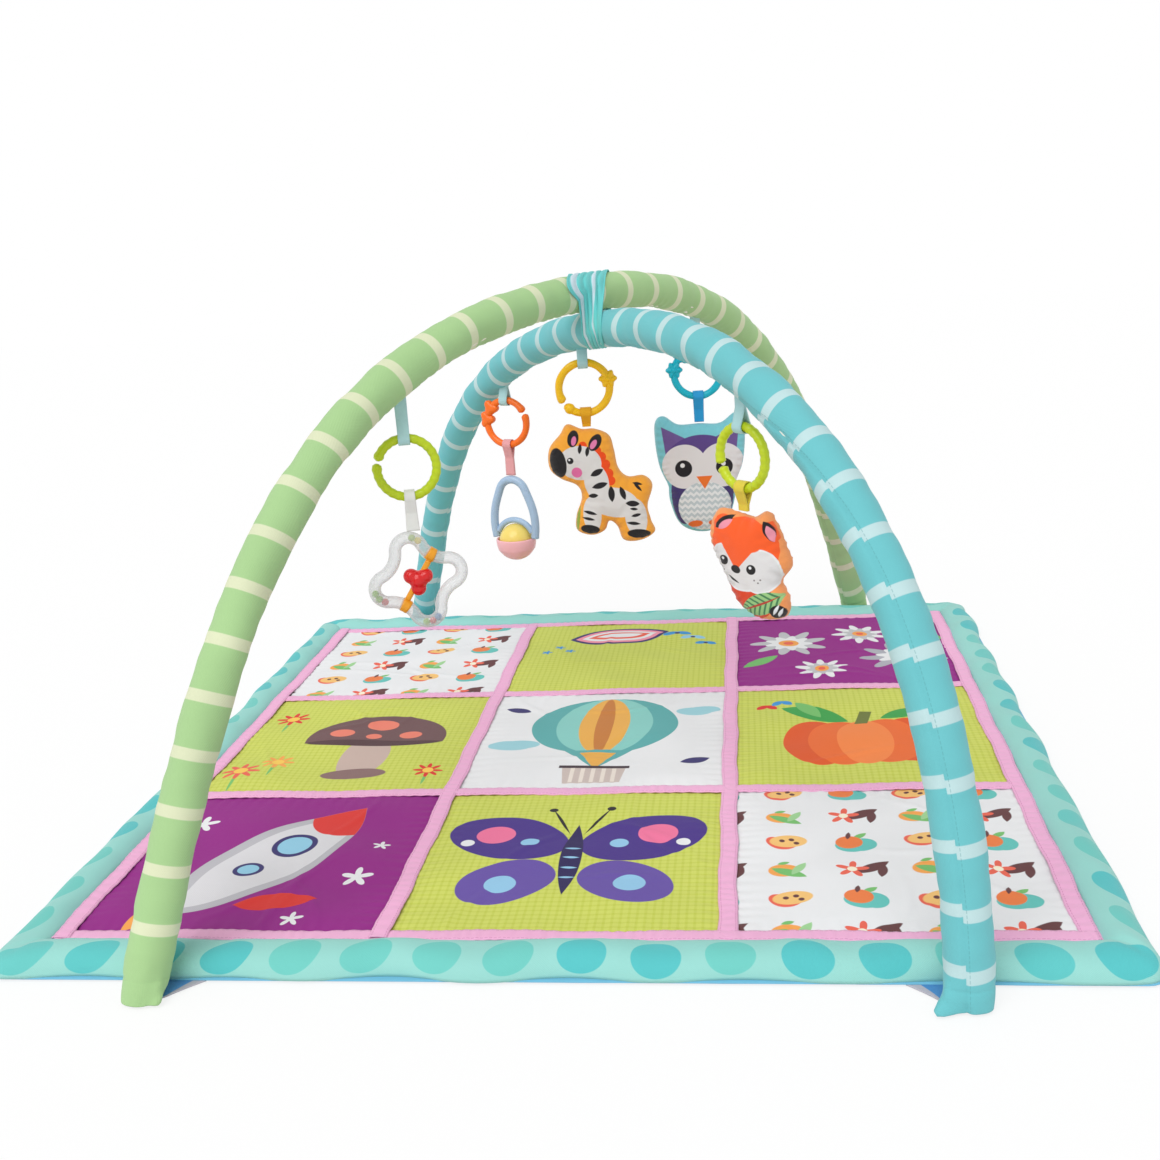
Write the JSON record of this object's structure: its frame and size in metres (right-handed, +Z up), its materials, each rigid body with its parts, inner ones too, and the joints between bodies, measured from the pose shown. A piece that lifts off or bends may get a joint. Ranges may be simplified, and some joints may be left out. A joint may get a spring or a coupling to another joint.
{
  "type": "activity play gym",
  "caption": "Padded square patchwork play mat with two crossed padded arches, from which link rings carry plush animals and rattles for a baby.",
  "frame": {"origin": "centre of the mat on the floor that it lies on", "axes": "+Z up, +X to the right and +Y to the back as seen from the front edge"},
  "size_m": [0.85, 0.9217, 0.4739],
  "materials": {
    "amber_plastic": "glossy moulded plastic",
    "aqua_cloth": "woven polyester cloth",
    "ball_plastic": "glossy moulded plastic",
    "bead_green": "glossy moulded plastic",
    "bead_red": "glossy moulded plastic",
    "bead_yellow": "glossy moulded plastic",
    "blue_cloth": "woven polyester cloth",
    "blue_plastic": "glossy moulded plastic",
    "blue_strap": "woven polyester cloth",
    "citrus_strap": "woven polyester cloth",
    "clear_plastic": "clear moulded plastic",
    "clear_strap": "woven polyester cloth",
    "cup_plastic": "glossy moulded plastic",
    "foam": "soft open foam",
    "fox_plush": "woven polyester cloth",
    "green_cloth": "woven polyester cloth",
    "handle_plastic": "glossy moulded plastic",
    "lime_plastic": "glossy moulded plastic",
    "lime_print": "woven polyester cloth",
    "orange_plastic": "glossy moulded plastic",
    "owl_plush": "woven polyester cloth",
    "pink_ribbon": "woven polyester cloth",
    "pink_strap": "woven polyester cloth",
    "plug": "satin moulded plastic",
    "purple_print": "woven polyester cloth",
    "red_plastic": "glossy moulded plastic",
    "rod": "satin moulded plastic",
    "teal_cloth": "woven polyester cloth",
    "wadding": "woven polyester cloth",
    "webbing": "woven polyester cloth",
    "white_print": "woven polyester cloth",
    "yellow_plastic": "glossy moulded plastic",
    "yellow_strap": "woven polyester cloth",
    "zebra_plush": "woven polyester cloth"
  },
  "bodies": {
    "gym": {"crossing_band": "teal_cloth", "green_cover": "green_cloth", "green_ferrule": "plug", "green_foam": "foam", "green_foot_plug_a": "plug", "green_foot_plug_b": "plug", "green_foot_tab_a": "blue_cloth", "green_foot_tab_b": "blue_cloth", "green_rod_a": "rod", "green_rod_b": "rod", "mat_backing": "blue_cloth", "mat_border": "aqua_cloth", "mat_wadding": "wadding", "patch_back_centre": "lime_print", "patch_back_left": "white_print", "patch_back_right": "purple_print", "patch_front_centre": "lime_print", "patch_front_left": "purple_print", "patch_front_right": "white_print", "patch_middle_centre": "white_print", "patch_middle_left": "lime_print", "patch_middle_right": "lime_print", "seam_ribbons": "pink_ribbon", "teal_cover": "teal_cloth", "teal_ferrule": "plug", "teal_foam": "foam", "teal_foot_plug_a": "plug", "teal_foot_plug_b": "plug", "teal_foot_tab_a": "blue_cloth", "teal_foot_tab_b": "blue_cloth", "teal_rod_a": "rod", "teal_rod_b": "rod", "webbing_loop_fox": "webbing", "webbing_loop_owl": "webbing", "webbing_loop_rattle": "webbing", "webbing_loop_star": "webbing", "webbing_loop_zebra": "webbing"},
    "ring_star": {"link_ring_star": "lime_plastic"},
    "toy_star": {"toy_strap_star": "clear_strap", "star_shell_front": "clear_plastic", "star_shell_rear": "clear_plastic", "star_axle": "amber_plastic"},
    "ring_rattle": {"link_ring_rattle": "orange_plastic"},
    "toy_rattle": {"toy_strap_rattle": "pink_strap", "rattle_handle": "handle_plastic", "rattle_cup": "cup_plastic"},
    "ring_zebra": {"link_ring_zebra": "yellow_plastic"},
    "toy_zebra": {"toy_strap_zebra": "yellow_strap", "zebra_plush": "zebra_plush"},
    "ring_owl": {"link_ring_owl": "blue_plastic"},
    "toy_owl": {"toy_strap_owl": "blue_strap", "owl_plush": "owl_plush"},
    "ring_fox": {"link_ring_fox": "lime_plastic"},
    "toy_fox": {"toy_strap_fox": "citrus_strap", "fox_plush": "fox_plush"},
    "spinner": {"star_spinner": "red_plastic"},
    "rattle_ball": {"rattle_ball": "ball_plastic"},
    "beads_left": {"beads_left": "bead_green"},
    "beads_bottom": {"beads_bottom": "bead_red"},
    "beads_top": {"beads_top": "bead_yellow"}
  },
  "joints": [
    {"name": "ring_swing_star", "type": "hinge", "parent": "gym", "child": "ring_star", "pos_m": [-0.12145, -0.19752, 0.35795], "axis": [0.9703, 0.2419, 0], "range_deg": [-40, 40]},
    {"name": "toy_swing_star", "type": "hinge", "parent": "ring_star", "child": "toy_star", "pos_m": [-0.12145, -0.19752, 0.30935], "axis": [0.9703, 0.2419, 0], "range_deg": [-35, 35]},
    {"name": "ring_swing_rattle", "type": "hinge", "parent": "gym", "child": "ring_rattle", "pos_m": [-0.10299, 0.17168, 0.33583], "axis": [0.9397, -0.342, 0], "range_deg": [-40, 40]},
    {"name": "toy_swing_rattle", "type": "hinge", "parent": "ring_rattle", "child": "toy_rattle", "pos_m": [-0.10299, 0.17168, 0.28723], "axis": [0.9397, -0.342, 0], "range_deg": [-35, 35]},
    {"name": "ring_swing_zebra", "type": "hinge", "parent": "gym", "child": "ring_zebra", "pos_m": [0.00271, 0.02001, 0.38806], "axis": [0.9945, 0.1045, 0], "range_deg": [-40, 40]},
    {"name": "toy_swing_zebra", "type": "hinge", "parent": "ring_zebra", "child": "toy_zebra", "pos_m": [0.00271, 0.02001, 0.33946], "axis": [0.9945, 0.1045, 0], "range_deg": [-35, 35]},
    {"name": "ring_swing_owl", "type": "hinge", "parent": "gym", "child": "ring_owl", "pos_m": [0.1067, 0.14909, 0.38128], "axis": [0.9976, 0.0698, 0], "range_deg": [-40, 40]},
    {"name": "toy_swing_owl", "type": "hinge", "parent": "ring_owl", "child": "toy_owl", "pos_m": [0.1067, 0.14909, 0.33268], "axis": [0.9976, 0.0698, 0], "range_deg": [-35, 35]},
    {"name": "ring_swing_fox", "type": "hinge", "parent": "gym", "child": "ring_fox", "pos_m": [0.15175, -0.2261, 0.35927], "axis": [0.7071, -0.7071, 0], "range_deg": [-40, 40]},
    {"name": "toy_swing_fox", "type": "hinge", "parent": "ring_fox", "child": "toy_fox", "pos_m": [0.15175, -0.2261, 0.31067], "axis": [0.7071, -0.7071, 0], "range_deg": [-35, 35]},
    {"name": "spinner_turn", "type": "hinge", "parent": "toy_star", "child": "spinner", "pos_m": [-0.12145, -0.19752, 0.23792], "axis": [0.5285, 0.1318, 0.8387], "continuous": true},
    {"name": "beads_left_roll", "type": "hinge", "parent": "toy_star", "child": "beads_left", "pos_m": [-0.14613, -0.20367, 0.23252], "axis": [0.2419, -0.9703, 0], "range_deg": [-60, 0]},
    {"name": "beads_bottom_roll", "type": "hinge", "parent": "toy_star", "child": "beads_bottom", "pos_m": [-0.11621, -0.19621, 0.21249], "axis": [0.2419, -0.9703, 0], "range_deg": [-25, 25]},
    {"name": "beads_top_roll", "type": "hinge", "parent": "toy_star", "child": "beads_top", "pos_m": [-0.1267, -0.19883, 0.26335], "axis": [0.2419, -0.9703, 0], "range_deg": [0, 60]},
    {"name": "ball_turn", "type": "hinge", "parent": "toy_rattle", "child": "rattle_ball", "pos_m": [-0.10299, 0.17168, 0.17963], "axis": [0.9397, -0.342, 0], "continuous": true}
  ]
}
